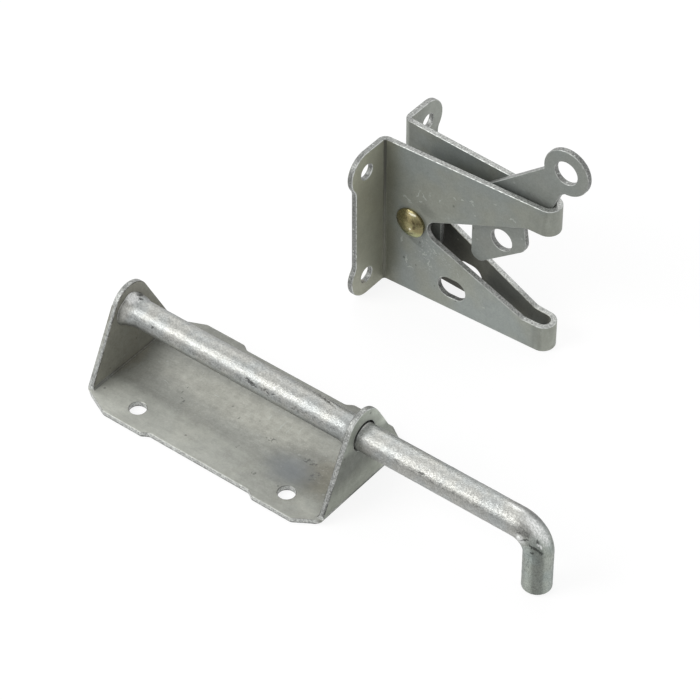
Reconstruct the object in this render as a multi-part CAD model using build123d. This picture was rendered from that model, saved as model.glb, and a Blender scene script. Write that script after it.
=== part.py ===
from build123d import *
from math import asin, atan2, cos, hypot, radians, sin, sqrt, tan
import os

# Automatic gate latch in two halves, of hot-dip galvanised steel.
# The catch is screwed to the gate post. It is one strip of sheet, folded into two plates that
# join in a U bend at the tip of each jaw, with a screw flange bent outwards on each plate.
# A lever turns on a rivet between the plates. Its hook closes the mouth between the jaws.
# The striker is screwed to the gate. It is one folded sheet with two upright ears, and a round
# bar lies through both ears. The bar's bent end is the finger grip.
# The bar runs into the mouth, lifts the hook by its slanted edge and drops in behind it.
# Both halves stand on one plane, z = 0, side by side. Sizes are in millimetres.

# Round parts that run on each other and on the striker
bar_diameter = 9.5
screw_hole = 5.6

# Catch: folded strip
catch_sheet = 2.0
catch_height = 58.3
catch_length = 65.0
heel_width = 13.7
nose_width = 8.6
flange_bend_radius = 1.0

# Catch: screw flanges, measured outwards from the outer face of each plate at the heel
flange_hole_reach = 9.0
flange_waist_reach = 14.4
flange_lobe_radius = 7.6
flange_waist_fillet = 4.0

# Catch: mouth between the jaws, and the oval hole in the lower jaw
mouth_slope = 23.75
mouth_end = 18.6
mouth_end_radius = 4.4
nose_height = 10.1
jaw_kink_fillet = 3.0
jaw_slot_length = 10.5
jaw_slot_height = 7.9
jaw_slot_x = 28.4
jaw_slot_z = 8.85

# Rivet and its two spacer rings
pivot_x = 12.4
rivet_shank = 6.0
rivet_hole_gap = 0.03
rivet_head = 10.7
rivet_head_rim = 0.7
rivet_head_rise = 1.7
rivet_tail_head = 9.6
rivet_tail_rim = 0.5
rivet_tail_rise = 1.3
spacer_diameter = 10.0
spacer_bore_gap = 0.1
spacer_end_gap = 0.05

# Lever, at rest with its arm on the upper nose
lever_sheet = 2.0
lever_bore_gap = 0.08
lever_side_gap = 0.15
lever_stop_gap = 0.12
hub_radius = 7.8
tail_drop = 7.0
arm_angle = 39.5
arm_length = 70.5
arm_top_offset = 3.6
ring_radius = 8.3
ring_hole = 8.3
neck_offset = 6.2
stop_edge_slope = 68.0
neck_rise = 6.0
shoulder_depth = 1.2
hook_back = 32.3
hook_front = 53.6
hook_heel_height = 46.5
hook_belly_height = 35.2
hook_tip_height = 18.7
hook_heel_set = 1.6
throat_roof_low = 34.5
throat_roof_high = 39.5
hook_hole = 8.0
hook_hole_x = 43.9
hook_hole_z = 34.8
lever_corner = 2.2
lever_inner_corner = 3.0
hook_tip_corner = 3.0
hook_belly_corner = 5.0

# Striker: folded base plate with two ears
striker_sheet = 2.0
striker_length = 94.2
striker_bend_radius = 0.8
bar_height = 22.1
ear_height = 31.9
ear_tip_radius = 7.8
ear_foot_width = 40.4
ear_fold_width = 43.8
ear_fold_length = 3.3
ear_hole_gap = 0.38
bar_seat_gap = 0.05
base_lobe_width = 50.6
base_waist_width = 47.6
base_hole_spacing = 59.6
base_hole_row = 35.2
base_hole_shift = 1.1
base_lobe_length = 15.4
base_step_length = 2.2
base_corner_fillet = 2.0

# Striker: bar
bar_overhang = 0.8
bar_leg_x = 159.1
bar_bend_radius = 7.6
bar_tip_height = 0.0
bar_tip_chamfer = 0.8
bar_end_chamfer = 0.6
stake_length = 8.0
stake_width = 11.5
stake_height = 10.2
stake_gap = 0.3

# Where the catch stands beside the striker
catch_offset_x = 37.7
catch_offset_y = 86.5

pivot_z = catch_height / 2
bar_radius = bar_diameter / 2


def round_corners(outline, corners):
    """Round corners of a flat outline, each given as (x, y, radius)."""
    for x, y, radius in corners:
        vertex = outline.vertices().sort_by_distance(Vector(x, y, 0))[0]
        outline = fillet(vertex, radius)
    return outline


def side_cut(outline, half_depth):
    """Turn an outline drawn in X and Z into a solid that reaches half_depth each way along Y."""
    return extrude(Plane.XZ * outline, amount=half_depth, both=True)


# Plan of the catch strip: the middle line of one plate runs from the flange fold to the nose,
# where it meets the round of the nose bend at a tangent.
fold_x = catch_sheet / 2
fold_y = (heel_width - catch_sheet) / 2
nose_x = catch_length - nose_width / 2
nose_line_radius = (nose_width - catch_sheet) / 2
fold_to_nose = hypot(nose_x - fold_x, fold_y)
toe_in = atan2(fold_y, nose_x - fold_x) - asin(nose_line_radius / fold_to_nose)
plate_run = sqrt(fold_to_nose**2 - nose_line_radius**2)
plate_end_x = fold_x + plate_run * cos(toe_in)
plate_end_y = fold_y - plate_run * sin(toe_in)
plate_half = catch_sheet / 2 / cos(toe_in)
flange_hole_y = heel_width / 2 + flange_hole_reach
flange_waist_y = heel_width / 2 + flange_waist_reach


def plate_line(x):
    """Distance from the middle plane to the middle of a plate's thickness, at x."""
    return fold_y - (x - fold_x) * tan(toe_in)


def make_catch_sheet():
    """Folded strip: two plates, two nose bends, two screw flanges."""
    flange_end = flange_hole_y + flange_lobe_radius + catch_sheet
    fold_radius = flange_bend_radius + catch_sheet / 2
    back = FilletPolyline(
        (fold_x, flange_end), (fold_x, fold_y), (plate_end_x, plate_end_y), radius=fold_radius
    )
    nose = ThreePointArc(
        (plate_end_x, plate_end_y),
        (catch_length - catch_sheet / 2, 0),
        (plate_end_x, -plate_end_y),
    )
    front = FilletPolyline(
        (fold_x, -flange_end), (fold_x, -fold_y), (plate_end_x, -plate_end_y), radius=fold_radius
    )
    strip = extrude(trace(back + nose + front, catch_sheet), amount=catch_height)
    strip &= extrude(Plane.YZ * flange_outline(), amount=catch_length)
    strip -= side_cut(mouth_outline(), heel_width)
    slot = Pos(jaw_slot_x, jaw_slot_z) * SlotOverall(jaw_slot_length, jaw_slot_height)
    strip -= side_cut(slot, heel_width)
    rivet_hole = Circle(rivet_shank / 2 + rivet_hole_gap)
    strip -= side_cut(Pos(pivot_x, pivot_z) * rivet_hole, heel_width)
    for y in (-flange_hole_y, flange_hole_y):
        for z in (flange_lobe_radius, catch_height - flange_lobe_radius):
            hole = Plane.YZ * Pos(y, z) * Circle(screw_hole / 2)
            strip -= extrude(hole, amount=2 * catch_sheet)
    return strip


def flange_outline():
    """Outline of the strip seen along X: full at the plates, a round lobe at each screw hole."""
    middle = Pos(0, catch_height / 2)
    outline = middle * Rectangle(2 * flange_hole_y, catch_height)
    outline += middle * Rectangle(2 * flange_waist_y, catch_height - 2 * flange_lobe_radius)
    lobes = [
        Pos(y, z) * Circle(flange_lobe_radius)
        for y in (-flange_hole_y, flange_hole_y)
        for z in (flange_lobe_radius, catch_height - flange_lobe_radius)
    ]
    outline += lobes
    lobe_beyond = flange_waist_y - flange_hole_y
    lobe_rise = sqrt(flange_lobe_radius**2 - lobe_beyond**2)
    corners = [
        (y, z, flange_waist_fillet)
        for y in (-flange_waist_y, flange_waist_y)
        for z in (flange_lobe_radius + lobe_rise, catch_height - flange_lobe_radius - lobe_rise)
    ]
    return round_corners(outline, corners)


def mouth_outline():
    """V mouth with a round inner end; near the tips its edges turn parallel to X."""
    slope = radians(mouth_slope)
    end_x = mouth_end + mouth_end_radius
    start_x = end_x - mouth_end_radius * sin(slope)
    start_rise = mouth_end_radius * cos(slope)
    nose_gap = catch_height / 2 - nose_height
    kink_x = start_x + (nose_gap - start_rise) / tan(slope)
    open_x = catch_length + catch_sheet
    half = [(start_x, start_rise), (kink_x, nose_gap), (open_x, nose_gap)]
    points = half + [(x, -z) for x, z in reversed(half)]
    wedge = make_face(Polyline(*points, close=True))
    kinks = [(kink_x, nose_gap, jaw_kink_fillet), (kink_x, -nose_gap, jaw_kink_fillet)]
    wedge = round_corners(wedge, kinks) + Pos(end_x, 0) * Circle(mouth_end_radius)
    return Pos(0, catch_height / 2) * wedge


def make_rivet(sheet):
    """Rivet along Y with a domed head in front and a lower upset head behind.

    Both heads are formed against the plates, so each takes the plate's slight slant."""
    outer = plate_line(pivot_x) + plate_half
    seat = rivet_head * tan(toe_in)
    shank = Cylinder(rivet_shank / 2, 2 * outer, rotation=(90, 0, 0))
    front = head_solid(rivet_head, rivet_head_rim + seat, rivet_head_rise)
    rear = head_solid(rivet_tail_head, rivet_tail_rim + seat, rivet_tail_rise)
    rivet = shank + Pos(0, -outer + seat, 0) * front
    rivet += Pos(0, outer - seat, 0) * Rot(0, 0, 180) * rear
    return Pos(pivot_x, 0, pivot_z) * rivet - sheet


def head_solid(diameter, rim, rise):
    """Rivet head that stands on the XZ plane and points to -Y: a straight rim and a dome."""
    radius = diameter / 2
    dome_radius = (radius**2 + rise**2) / (2 * rise)
    half = Pos(radius / 2, (rim + rise) / 2) * Rectangle(radius, rim + rise)
    half &= Pos(0, rim + rise - dome_radius) * Circle(dome_radius)
    return Rot(90, 0, 0) * revolve(Plane.XZ * half, Axis.Z)


def make_spacer(side):
    """Plain ring on the rivet between the lever and one plate; side is -1 in front, 1 behind."""
    near = lever_sheet / 2 + lever_side_gap
    far = plate_line(pivot_x + spacer_diameter / 2) - plate_half - spacer_end_gap
    ring = Circle(spacer_diameter / 2) - Circle(rivet_shank / 2 + spacer_bore_gap)
    solid = extrude(Plane.XZ * Pos(pivot_x, pivot_z) * ring, amount=(far - near) / 2, both=True)
    return Pos(0, side * (near + far) / 2, 0) * solid


def make_lever():
    """Flat lever: hub with a tail, hook with a padlock hole, and an arm with a pull ring."""
    angle = radians(arm_angle)
    ring_x = pivot_x + arm_length * cos(angle)
    ring_z = pivot_z + arm_length * sin(angle)
    up_x, up_z = -sin(angle), cos(angle)

    nose_inner = nose_width / 2 - catch_sheet
    stop_x = nose_x + sqrt(nose_inner**2 - (lever_sheet / 2) ** 2) - lever_stop_gap
    neck_x = stop_x + neck_rise / tan(radians(stop_edge_slope))
    neck_z = catch_height + neck_rise
    shoulder_x = stop_x - shoulder_depth / tan(radians(stop_edge_slope))
    shoulder_z = catch_height - shoulder_depth
    hub_front = pivot_x + hub_radius
    heel_x = hook_front - hook_heel_set

    blade = make_face(
        Polyline(
            (pivot_x, pivot_z),
            (pivot_x + arm_top_offset * up_x, pivot_z + arm_top_offset * up_z),
            (ring_x + arm_top_offset * up_x, ring_z + arm_top_offset * up_z),
            (ring_x - neck_offset * up_x, ring_z - neck_offset * up_z),
            (neck_x, neck_z),
            (shoulder_x, shoulder_z),
            (heel_x, hook_heel_height),
            (hook_front, hook_belly_height),
            (hook_back, hook_tip_height),
            (hook_back, throat_roof_high),
            (hub_front, throat_roof_low),
            (hub_front, pivot_z - tail_drop),
            (pivot_x, pivot_z - tail_drop),
            close=True,
        )
    )
    blade = round_corners(
        blade,
        [
            (neck_x, neck_z, lever_corner / 2),
            (shoulder_x, shoulder_z, lever_corner),
            (heel_x, hook_heel_height, lever_inner_corner),
            (hook_front, hook_belly_height, hook_belly_corner),
            (hook_back, hook_tip_height, hook_tip_corner),
            (hook_back, throat_roof_high, lever_inner_corner),
            (hub_front, throat_roof_low, lever_inner_corner),
        ],
    )
    outline = blade + Pos(pivot_x, pivot_z) * Circle(hub_radius)
    outline += Pos(pivot_x, pivot_z - tail_drop / 2) * Rectangle(2 * hub_radius, tail_drop)
    outline += Pos(pivot_x, pivot_z - tail_drop) * Circle(hub_radius)
    outline += Pos(ring_x, ring_z) * Circle(ring_radius)
    outline -= Pos(ring_x, ring_z) * Circle(ring_hole / 2)
    outline -= Pos(hook_hole_x, hook_hole_z) * Circle(hook_hole / 2)
    outline -= Pos(pivot_x, pivot_z) * Circle(rivet_shank / 2 + lever_bore_gap)
    return side_cut(outline, lever_sheet / 2)


def make_striker_bracket():
    """Folded sheet: base plate with four screw lobes and an ear standing up at each end."""
    near_x = striker_sheet / 2
    far_x = striker_length - striker_sheet / 2
    ear_top = ear_height + striker_sheet
    line = FilletPolyline(
        (near_x, ear_top),
        (near_x, striker_sheet / 2),
        (far_x, striker_sheet / 2),
        (far_x, ear_top),
        radius=striker_bend_radius + striker_sheet / 2,
    )
    bracket = side_cut(trace(line, striker_sheet), base_lobe_width / 2)
    bracket &= extrude(base_outline(), amount=ear_top)
    bracket &= extrude(Plane.YZ * ear_outline(), amount=striker_length)
    for x in base_hole_xs():
        for y in (-base_hole_row / 2, base_hole_row / 2):
            bracket -= Pos(x, y, striker_sheet / 2) * Cylinder(screw_hole / 2, 2 * striker_sheet)
    hole_height = bar_height + ear_hole_gap - bar_seat_gap
    hole = Plane.YZ * Pos(0, hole_height) * Circle(bar_radius + ear_hole_gap)
    bracket -= extrude(hole, amount=striker_length)
    return bracket


def base_hole_xs():
    """X of the two screw-hole columns in the base plate."""
    middle = striker_length / 2 + base_hole_shift
    return (middle - base_hole_spacing / 2, middle + base_hole_spacing / 2)


def base_outline():
    """Base plate from above: a lobe at each screw hole, a waist between, narrow at the ears."""
    foot = ear_foot_width / 2
    fold = ear_fold_width / 2
    lobe = base_lobe_width / 2
    waist = base_waist_width / 2
    near, far = base_hole_xs()
    half = [
        (0, foot),
        (ear_fold_length, fold),
        (near - base_lobe_length / 2, lobe),
        (near + base_lobe_length / 2, lobe),
        (near + base_lobe_length / 2 + base_step_length, waist),
        (far - base_lobe_length / 2 - base_step_length, waist),
        (far - base_lobe_length / 2, lobe),
        (far + base_lobe_length / 2, lobe),
        (striker_length - ear_fold_length, fold),
        (striker_length, foot),
    ]
    points = half + [(x, -y) for x, y in reversed(half)]
    outline = make_face(Polyline(*points, close=True))
    rounded = [(x, side * y, base_corner_fillet) for x, y in half[2:-2] for side in (-1, 1)]
    return round_corners(outline, rounded)


def ear_outline():
    """Ear seen along X: a rounded tip about the bar, with straight sides down to its foot."""
    foot = ear_foot_width / 2
    tip_z = ear_height - ear_tip_radius
    rise = tip_z - striker_sheet
    side = hypot(foot, rise)
    lean = atan2(rise, foot) + asin(ear_tip_radius / side)
    run = sqrt(side**2 - ear_tip_radius**2)
    touch_y = foot - run * cos(lean)
    touch_z = striker_sheet + run * sin(lean)
    ear = make_face(
        Polyline(
            (-foot, striker_sheet),
            (-touch_y, touch_z),
            (0, tip_z),
            (touch_y, touch_z),
            (foot, striker_sheet),
            (base_lobe_width, striker_sheet),
            (base_lobe_width, -striker_sheet),
            (-base_lobe_width, -striker_sheet),
            (-base_lobe_width, striker_sheet),
            close=True,
        )
    )
    return ear + Pos(0, tip_z) * Circle(ear_tip_radius)


def make_striker_bar():
    """Round bar through both ears, bent down at its free end.

    Inside each ear it is staked: pressed so that it flares towards the ear and can't slide out."""
    path = FilletPolyline(
        (-bar_overhang, 0, bar_height),
        (bar_leg_x, 0, bar_height),
        (bar_leg_x, 0, bar_tip_height),
        radius=bar_bend_radius,
    )
    start = Plane(origin=(-bar_overhang, 0, bar_height), x_dir=(0, 1, 0), z_dir=(1, 0, 0))
    bar = sweep(start * Circle(bar_radius), path=path)
    bar = chamfer(bar.edges().sort_by(Axis.Z)[0], bar_tip_chamfer)
    bar = chamfer(bar.edges().sort_by(Axis.X)[0], bar_end_chamfer)
    stake = scale(Sphere(1), by=(stake_length, stake_width / 2, stake_height / 2))
    stake = split(stake, bisect_by=Plane.YZ)
    ear_face = striker_sheet + stake_gap
    bar += Pos(ear_face, 0, bar_height) * stake
    bar += Pos(striker_length - ear_face, 0, bar_height) * Rot(0, 0, 180) * stake
    return bar


# The origin is under the middle of the whole set, on the plane that both halves stand on.
left = -bar_overhang
right = bar_leg_x + bar_radius
front = -base_lobe_width / 2
behind = catch_offset_y + flange_hole_y + flange_lobe_radius
to_striker = Pos(-(left + right) / 2, -(front + behind) / 2, 0)
to_catch = to_striker * Pos(catch_offset_x, catch_offset_y, 0)

catch_body = make_catch_sheet()
parts = {
    "catch_sheet": to_catch * catch_body,
    "pivot_rivet": to_catch * make_rivet(catch_body),
    "front_spacer": to_catch * make_spacer(-1),
    "rear_spacer": to_catch * make_spacer(1),
    "latch_lever": to_catch * make_lever(),
    "striker_bracket": to_striker * make_striker_bracket(),
    "striker_bar": to_striker * make_striker_bar(),
}

os.makedirs("parts", exist_ok=True)
for name, part in parts.items():
    export_step(part, f"parts/{name}.step")
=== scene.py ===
import math

import bmesh
import bpy
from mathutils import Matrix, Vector, noise


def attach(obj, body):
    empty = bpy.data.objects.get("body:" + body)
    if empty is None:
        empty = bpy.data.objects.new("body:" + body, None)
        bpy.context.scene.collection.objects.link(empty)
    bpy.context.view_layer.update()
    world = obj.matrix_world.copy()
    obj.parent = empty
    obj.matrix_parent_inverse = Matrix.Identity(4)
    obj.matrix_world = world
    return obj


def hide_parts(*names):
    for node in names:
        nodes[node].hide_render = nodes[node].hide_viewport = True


# Looks of a gate latch in two halves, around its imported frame: the catch with its lever, and the
# striker, a bracket with a round bar. Lengths are in millimetres from the corner of each half,
# and MM turns them into the metres of the frame. The room is in metres.

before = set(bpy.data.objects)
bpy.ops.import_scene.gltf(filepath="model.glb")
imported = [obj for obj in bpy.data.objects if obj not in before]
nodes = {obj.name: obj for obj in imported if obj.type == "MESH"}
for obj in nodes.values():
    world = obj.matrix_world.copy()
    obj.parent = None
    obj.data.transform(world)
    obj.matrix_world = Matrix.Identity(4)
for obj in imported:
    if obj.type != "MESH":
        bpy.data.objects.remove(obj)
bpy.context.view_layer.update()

MM = 0.001

# Corner of each half in the frame
STRIKER = Vector((-81.525, -42.325, 0.0))
CATCH = Vector((-43.825, 44.175, 0.0))

# Sheets: the top of the base plate, and the outer face of the catch's front plate, which is at
# PLATE_FRONT + PLATE_LEAN * x
BASE_TOP = 2.0
PLATE_FRONT = -6.85
PLATE_LEAN = 0.038

# Rounded edges: their size, the least turn of an edge that is rounded, the largest turn within
# one flat face, and the largest gap between points that count as one
EDGE_ROUNDING = 0.32
EDGE_ANGLE = math.radians(28.0)
FLAT_ANGLE = math.radians(0.4)
SAME_PLACE = 0.002

# Bar: its round section, the height of its middle line, its start, its leg, its bend and the
# chamfer at both ends
BAR_RADIUS = 4.75
BAR_HEIGHT = 22.1
BAR_START = -0.8
BAR_LEG_X = 159.1
BAR_BEND = 7.6
BAR_CHAMFER = 0.6

# Staked zinc inside each ear: the ear's face, the side it runs out to, and its half lengths
STAKE_FACES = ((2.1, 1), (92.1, -1))
STAKE_HALF = (8.0, 5.75, 5.1)
SWOLLEN_SIDE = math.radians(140.0)

# Ragged edge of zinc outside the right ear, and how deep the lumps all over the bar are
COLLAR_START = 94.2
COLLAR_LENGTH = 0.9
COLLAR_RISE = 0.34
LUMP_DEPTH = 0.05

# Rings of the bar's mesh: points around, spacing along, and the least space beside closer rings
RING_POINTS = 72
RING_SPACING = 0.45
RING_CLEARANCE = 0.12


# Camera, floor, lamps

CAMERA_TARGET = Vector((-0.029045, 0.003455, 0.0))
CAMERA_AZIMUTH = math.radians(38.284)
CAMERA_ELEVATION = math.radians(43.0)
CAMERA_DISTANCE = 1.1118
CAMERA_LENS = 180.0

FLOOR_REACH = 6.0
FLOOR_HEIGHT = -0.0002
FLOOR_COLOUR = (0.85, 0.85, 0.85, 1)
SEEN_FLOOR_COLOUR = (0.17, 0.17, 0.17, 1)
SEEN_FLOOR_GLOW = 0.86
ROOM_LIGHT = 0.6
SEEN_ROOM_LIGHT = 1.0


def place_camera():
    level = math.cos(CAMERA_ELEVATION)
    back = Vector(
        (
            math.sin(CAMERA_AZIMUTH) * level,
            -math.cos(CAMERA_AZIMUTH) * level,
            math.sin(CAMERA_ELEVATION),
        )
    )
    camera = bpy.data.objects.new("camera", bpy.data.cameras.new("camera"))
    camera.data.lens = CAMERA_LENS
    camera.data.sensor_width = 36.0
    camera.data.clip_start = 0.01
    camera.location = CAMERA_TARGET + CAMERA_DISTANCE * back
    camera.rotation_euler = (-back).to_track_quat("-Z", "Y").to_euler()
    bpy.context.scene.collection.objects.link(camera)
    bpy.context.scene.camera = camera


def seen_or_reflected(tree):
    """1 for rays from the camera, from gloss and through glass, else 0."""
    path = tree.nodes.new("ShaderNodeLightPath")
    total = path.outputs["Is Camera Ray"]
    for name in ("Is Glossy Ray", "Is Transmission Ray"):
        add = tree.nodes.new("ShaderNodeMath")
        add.operation = "ADD"
        add.use_clamp = True
        tree.links.new(total, add.inputs[0])
        tree.links.new(path.outputs[name], add.inputs[1])
        total = add.outputs[0]
    return total


def make_floor():
    """A floor that returns light as plain pale paint does, but is seen as white with a shadow."""
    mesh = bpy.data.meshes.new("floor")
    corners = ((-1, -1), (1, -1), (1, 1), (-1, 1))
    places = [(x * FLOOR_REACH, y * FLOOR_REACH, FLOOR_HEIGHT) for x, y in corners]
    mesh.from_pydata(places, [], [(0, 1, 2, 3)])
    floor = bpy.data.objects.new("floor", mesh)
    bpy.context.scene.collection.objects.link(floor)

    material = bpy.data.materials.new("floor_white")
    material.use_nodes = True
    tree = material.node_tree
    tree.nodes.remove(tree.nodes["Principled BSDF"])
    lit = tree.nodes.new("ShaderNodeBsdfDiffuse")
    lit.inputs["Color"].default_value = FLOOR_COLOUR
    shadow_part = tree.nodes.new("ShaderNodeBsdfDiffuse")
    shadow_part.inputs["Color"].default_value = SEEN_FLOOR_COLOUR
    glow = tree.nodes.new("ShaderNodeEmission")
    glow.inputs["Strength"].default_value = SEEN_FLOOR_GLOW
    seen = tree.nodes.new("ShaderNodeAddShader")
    tree.links.new(shadow_part.outputs[0], seen.inputs[0])
    tree.links.new(glow.outputs[0], seen.inputs[1])
    mix = tree.nodes.new("ShaderNodeMixShader")
    tree.links.new(seen_or_reflected(tree), mix.inputs[0])
    tree.links.new(lit.outputs[0], mix.inputs[1])
    tree.links.new(seen.outputs[0], mix.inputs[2])
    tree.links.new(mix.outputs[0], tree.nodes["Material Output"].inputs["Surface"])
    mesh.materials.append(material)


def make_world():
    world = bpy.data.worlds.new("white_room")
    bpy.context.scene.world = world
    world.use_nodes = True
    tree = world.node_tree
    background = tree.nodes["Background"]
    background.inputs["Color"].default_value = (1, 1, 1, 1)
    strength = tree.nodes.new("ShaderNodeMapRange")
    strength.inputs["To Min"].default_value = ROOM_LIGHT
    strength.inputs["To Max"].default_value = SEEN_ROOM_LIGHT
    tree.links.new(seen_or_reflected(tree), strength.inputs["Value"])
    tree.links.new(strength.outputs[0], background.inputs["Strength"])


def make_lamp(name, direction, distance, size, power):
    data = bpy.data.lights.new(name, "AREA")
    data.shape = "DISK"
    data.size = size
    data.energy = power
    lamp = bpy.data.objects.new(name, data)
    toward = Vector(direction).normalized()
    lamp.location = CAMERA_TARGET + toward * distance
    lamp.rotation_euler = (-toward).to_track_quat("-Z", "Y").to_euler()
    bpy.context.scene.collection.objects.link(lamp)


# Material nodes


class Net:
    """Builds one material's nodes in few words. An input is a number, a tuple or an output.

    A mark or region is a value that is 1 inside it, 0 outside it and changes smoothly between."""

    def __init__(self, name, metallic):
        self.material = bpy.data.materials.new(name)
        self.material.use_nodes = True
        self.tree = self.material.node_tree
        self.shader = self.tree.nodes["Principled BSDF"]
        self.shader.inputs["Metallic"].default_value = metallic
        coordinates = self.tree.nodes.new("ShaderNodeTexCoord")
        scale = self.tree.nodes.new("ShaderNodeVectorMath")
        scale.operation = "SCALE"
        scale.inputs["Scale"].default_value = 1.0 / MM
        self.tree.links.new(coordinates.outputs["Object"], scale.inputs[0])
        self.place = scale.outputs[0]
        self.normal = coordinates.outputs["Normal"]

    def feed(self, socket, value):
        if isinstance(value, bpy.types.NodeSocket):
            self.tree.links.new(value, socket)
        else:
            socket.default_value = value

    def math(self, operation, *values):
        node = self.tree.nodes.new("ShaderNodeMath")
        node.operation = operation
        for socket, value in zip(node.inputs, values):
            self.feed(socket, value)
        return node.outputs[0]

    def chain(self, operation, values):
        result = values[0]
        for value in values[1:]:
            result = self.math(operation, result, value)
        return result

    def product(self, *values):
        return self.chain("MULTIPLY", values)

    def total(self, *values):
        return self.chain("ADD", values)

    def largest(self, *values):
        return self.chain("MAXIMUM", values)

    def less(self, value, taken):
        return self.math("SUBTRACT", value, taken)

    def size(self, value):
        return self.math("ABSOLUTE", value)

    def vector(self, operation, *values):
        node = self.tree.nodes.new("ShaderNodeVectorMath")
        node.operation = operation
        for socket, value in zip(node.inputs, values):
            self.feed(socket, value)
        return node.outputs["Value" if operation == "LENGTH" else "Vector"]

    def place_from(self, corner):
        """Place in millimetres from the corner of one half."""
        return self.vector("SUBTRACT", self.place, tuple(corner))

    def split(self, value):
        node = self.tree.nodes.new("ShaderNodeSeparateXYZ")
        self.feed(node.inputs[0], value)
        return node.outputs

    def combine(self, x, y, z):
        node = self.tree.nodes.new("ShaderNodeCombineXYZ")
        for socket, value in zip(node.inputs, (x, y, z)):
            self.feed(socket, value)
        return node.outputs[0]

    def noise(self, size, detail=3.0, roughness=0.55, place=None, stretch=None, shift=0.0):
        """Cloud noise with features of about size millimetres, from about 0.3 to 0.7."""
        vector = place or self.place
        if stretch:
            vector = self.vector("MULTIPLY", vector, stretch)
        if shift:
            vector = self.vector("ADD", vector, (shift, -shift, 2 * shift))
        node = self.tree.nodes.new("ShaderNodeTexNoise")
        self.feed(node.inputs["Vector"], vector)
        node.inputs["Scale"].default_value = 1.0 / size
        node.inputs["Detail"].default_value = detail
        node.inputs["Roughness"].default_value = roughness
        return node.outputs["Fac"]

    def warp(self, place, size, amount):
        """The place moved about by a noise, so that straight marks turn crooked."""
        node = self.tree.nodes.new("ShaderNodeTexNoise")
        self.feed(node.inputs["Vector"], place)
        node.inputs["Scale"].default_value = 1.0 / size
        node.inputs["Detail"].default_value = 1.0
        push = self.vector("SUBTRACT", node.outputs["Color"], (0.5, 0.5, 0.5))
        return self.vector("ADD", place, self.vector("MULTIPLY", push, (amount, amount, amount)))

    def cells(self, size, place=None):
        """Distance to the nearest of scattered points, and a random colour for each of them."""
        node = self.tree.nodes.new("ShaderNodeTexVoronoi")
        self.feed(node.inputs["Vector"], place or self.place)
        node.inputs["Scale"].default_value = 1.0 / size
        return node.outputs

    def step(self, value, low, high, out_low=0.0, out_high=1.0):
        """Smooth change from out_low at low to out_high at high, where low may be the larger."""
        node = self.tree.nodes.new("ShaderNodeMapRange")
        node.interpolation_type = "SMOOTHSTEP"
        self.feed(node.inputs["Value"], value)
        falling = low > high
        node.inputs["From Min"].default_value = high if falling else low
        node.inputs["From Max"].default_value = low if falling else high
        node.inputs["To Min"].default_value = out_high if falling else out_low
        node.inputs["To Max"].default_value = out_low if falling else out_high
        return node.outputs["Result"]

    def outside(self, mark):
        """1 outside a mark and 0 inside it."""
        return self.math("SUBTRACT", 1.0, mark)

    def level(self, mark, inside):
        """A factor that is 1 outside a mark and the given number inside it."""
        return self.step(mark, 0.0, 1.0, 1.0, inside)

    def mix_value(self, factor, first, second):
        """second where factor is 1, first where it is 0."""
        return self.total(first, self.product(self.less(second, first), factor))

    def mix(self, factor, first, second):
        """Colour mix; first and second are colours or outputs."""
        node = self.tree.nodes.new("ShaderNodeMix")
        node.data_type = "RGBA"
        self.feed(node.inputs["Factor"], factor)
        for socket, value in ((node.inputs[6], first), (node.inputs[7], second)):
            if isinstance(value, tuple) and len(value) == 3:
                value = (*value, 1.0)
            self.feed(socket, value)
        return node.outputs[2]

    def times(self, colour, factor):
        """Colour made lighter or darker by a factor that varies."""
        return self.vector("MULTIPLY", colour, self.combine(factor, factor, factor))

    def tinted(self, mark, colour, amounts):
        """Colour with its red, green and blue multiplied by the amounts inside a mark."""
        return self.mix(mark, colour, self.vector("MULTIPLY", colour, amounts))

    def marks(self, spots, place, ragged=0.8, soft=0.35, grain=0.8):
        """1 inside any of the ellipsoids, 0 outside, with a ragged edge.

        A spot is its centre, its half lengths and the degrees by which its +X end is raised."""
        nearest = None
        for centre, reach, turn in spots:
            node = self.tree.nodes.new("ShaderNodeMapping")
            node.vector_type = "TEXTURE"
            self.feed(node.inputs["Vector"], place)
            node.inputs["Location"].default_value = centre
            node.inputs["Rotation"].default_value = (0, math.radians(-turn), 0)
            node.inputs["Scale"].default_value = reach
            away = self.vector("LENGTH", node.outputs[0])
            nearest = self.math("MINIMUM", nearest, away) if nearest else away
        wave = self.less(self.noise(grain, place=place, shift=spots[0][0][0]), 0.5)
        nearest = self.total(nearest, self.product(wave, ragged))
        return self.step(nearest, 1.0 + soft, 1.0 - soft)

    def finish(self, colour, roughness, height, depth):
        """height goes up to 1 where the surface stands depth millimetres proud."""
        self.feed(self.shader.inputs["Base Color"], colour)
        self.feed(self.shader.inputs["Roughness"], roughness)
        bump = self.tree.nodes.new("ShaderNodeBump")
        bump.inputs["Strength"].default_value = 1.0
        bump.inputs["Distance"].default_value = depth * MM
        self.feed(bump.inputs["Height"], height)
        self.feed(self.shader.inputs["Normal"], bump.outputs[0])
        return self.material


# Dull galvanised sheet: the catch, the lever and the bracket

FLECK_ZINC = (0.40, 0.42, 0.39)
CUT_ZINC = (0.262, 0.268, 0.257)
GLINT_ZINC = (0.58, 0.60, 0.58)
RIM_HIGHLIGHT_ZINC = (0.62, 0.64, 0.62)


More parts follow.
